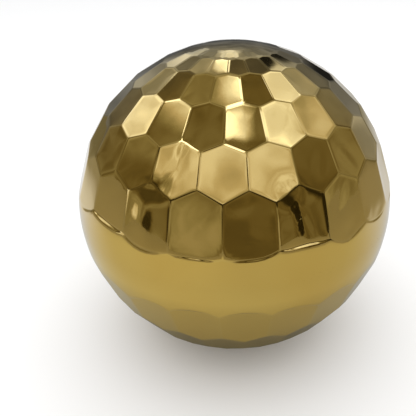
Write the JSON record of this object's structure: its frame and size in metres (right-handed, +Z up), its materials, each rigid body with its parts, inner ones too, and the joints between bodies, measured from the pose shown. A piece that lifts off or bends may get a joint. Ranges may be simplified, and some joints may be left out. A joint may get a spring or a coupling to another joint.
{
  "type": "mirror ball",
  "caption": "Hollow ball of gold mirror-finish sheet metal with rows of pressed flat facets, a smooth band round the middle, a welded seam and a plugged vent in its flat base.",
  "frame": {"origin": "centre of the flat base, on the surface that the ball stands on", "axes": "+Z up along the ball's axis from the base to the top cap; +X passes through the middle of a facet of the row next to the smooth band"},
  "size_m": [0.146, 0.146, 0.1448],
  "materials": {
    "gold_mirror_upper": "mirror polish, gold coated stainless steel",
    "gold_mirror_lower": "mirror polish, gold coated stainless steel",
    "gold_mirror_seam": "ground flush and polished with the halves",
    "plug_rubber": "matte black rubber"
  },
  "bodies": {
    "root": {"upper_shell": "gold_mirror_upper", "lower_shell": "gold_mirror_lower", "seam_weld": "gold_mirror_seam", "vent_plug": "plug_rubber"}
  },
  "joints": []
}
